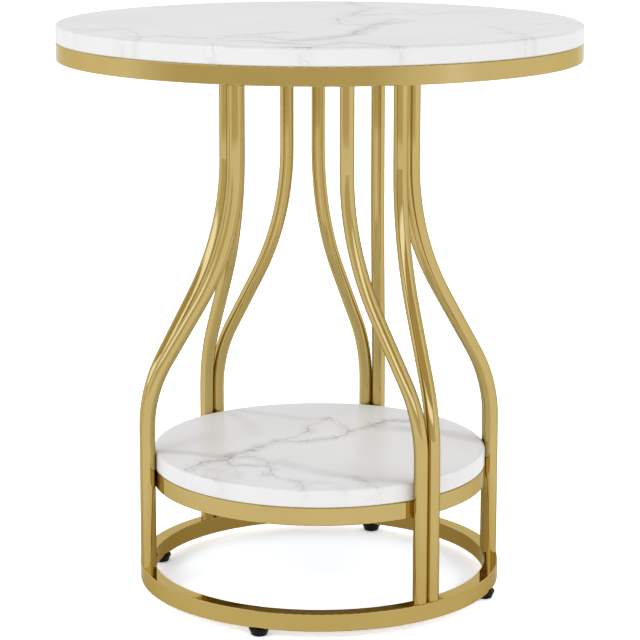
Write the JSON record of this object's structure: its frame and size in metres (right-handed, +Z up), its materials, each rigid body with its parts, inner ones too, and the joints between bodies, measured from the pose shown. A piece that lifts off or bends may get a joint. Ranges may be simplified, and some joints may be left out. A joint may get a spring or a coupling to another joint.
{
  "type": "tiered side table",
  "caption": "Round two-tier side table: marble-look top and lower shelf on gold metal rings, joined by S-bent tubes set in pairs, standing on screw-adjusted levelling feet.",
  "frame": {"origin": "on the floor, under the middle of the round top", "axes": "+Z up; the side of the shelf that is open, with no legs, faces -Y"},
  "size_m": [0.588, 0.588, 0.65],
  "materials": {
    "gold_metal": "satin gold plating on steel",
    "marble_laminate": "satin white marble-look laminate on board",
    "zinc_steel": "bright zinc plating",
    "brass_insert": "plain turned",
    "black_plastic": "fine moulded texture"
  },
  "bodies": {
    "frame": {"top_ring": "gold_metal", "leg_head_plate": "gold_metal", "shelf_ring": "gold_metal", "base_ring": "gold_metal", "top_arm_front_right": "gold_metal", "top_arm_back_right": "gold_metal", "top_arm_back": "gold_metal", "top_arm_back_left": "gold_metal", "top_arm_front_left": "gold_metal", "leg_front_right_a": "gold_metal", "leg_front_right_b": "gold_metal", "leg_back_right_a": "gold_metal", "leg_back_right_b": "gold_metal", "leg_back_a": "gold_metal", "leg_back_b": "gold_metal", "leg_back_left_a": "gold_metal", "leg_back_left_b": "gold_metal", "leg_front_left_a": "gold_metal", "leg_front_left_b": "gold_metal", "shelf_tab_1": "gold_metal", "shelf_tab_2": "gold_metal", "shelf_tab_3": "gold_metal", "shelf_tab_4": "gold_metal", "top_panel": "marble_laminate", "shelf_panel": "marble_laminate", "panel_inserts": "brass_insert", "foot_bushes": "brass_insert", "head_plate_bolts": "zinc_steel", "top_panel_screws": "zinc_steel", "shelf_panel_screws": "zinc_steel"},
    "front_stud": {"foot_stud_front": "zinc_steel"},
    "front_pad": {"foot_pad_front": "black_plastic"},
    "right_stud": {"foot_stud_right": "zinc_steel"},
    "right_pad": {"foot_pad_right": "black_plastic"},
    "back_stud": {"foot_stud_back": "zinc_steel"},
    "back_pad": {"foot_pad_back": "black_plastic"},
    "left_stud": {"foot_stud_left": "zinc_steel"},
    "left_pad": {"foot_pad_left": "black_plastic"}
  },
  "joints": [
    {"name": "front_foot_travel", "type": "slide", "parent": "frame", "child": "front_stud", "axis": [0, 0, -1], "range_m": [0, 0.008]},
    {"name": "front_foot_turn", "type": "hinge", "parent": "front_stud", "child": "front_pad", "pos_m": [0, -0.1995, 0], "axis": [0, 0, -1], "range_deg": [0, 2880]},
    {"name": "right_foot_travel", "type": "slide", "parent": "frame", "child": "right_stud", "axis": [0, 0, -1], "range_m": [0, 0.008]},
    {"name": "right_foot_turn", "type": "hinge", "parent": "right_stud", "child": "right_pad", "pos_m": [0.1995, 0, 0], "axis": [0, 0, -1], "range_deg": [0, 2880]},
    {"name": "back_foot_travel", "type": "slide", "parent": "frame", "child": "back_stud", "axis": [0, 0, -1], "range_m": [0, 0.008]},
    {"name": "back_foot_turn", "type": "hinge", "parent": "back_stud", "child": "back_pad", "pos_m": [0, 0.1995, 0], "axis": [0, 0, -1], "range_deg": [0, 2880]},
    {"name": "left_foot_travel", "type": "slide", "parent": "frame", "child": "left_stud", "axis": [0, 0, -1], "range_m": [0, 0.008]},
    {"name": "left_foot_turn", "type": "hinge", "parent": "left_stud", "child": "left_pad", "pos_m": [-0.1995, 0, 0], "axis": [0, 0, -1], "range_deg": [0, 2880]}
  ],
  "couplings": [
    {"joint": "front_foot_travel", "follows": "front_foot_turn", "m_per_rad": 0.00015915},
    {"joint": "right_foot_travel", "follows": "right_foot_turn", "m_per_rad": 0.00015915},
    {"joint": "back_foot_travel", "follows": "back_foot_turn", "m_per_rad": 0.00015915},
    {"joint": "left_foot_travel", "follows": "left_foot_turn", "m_per_rad": 0.00015915}
  ]
}
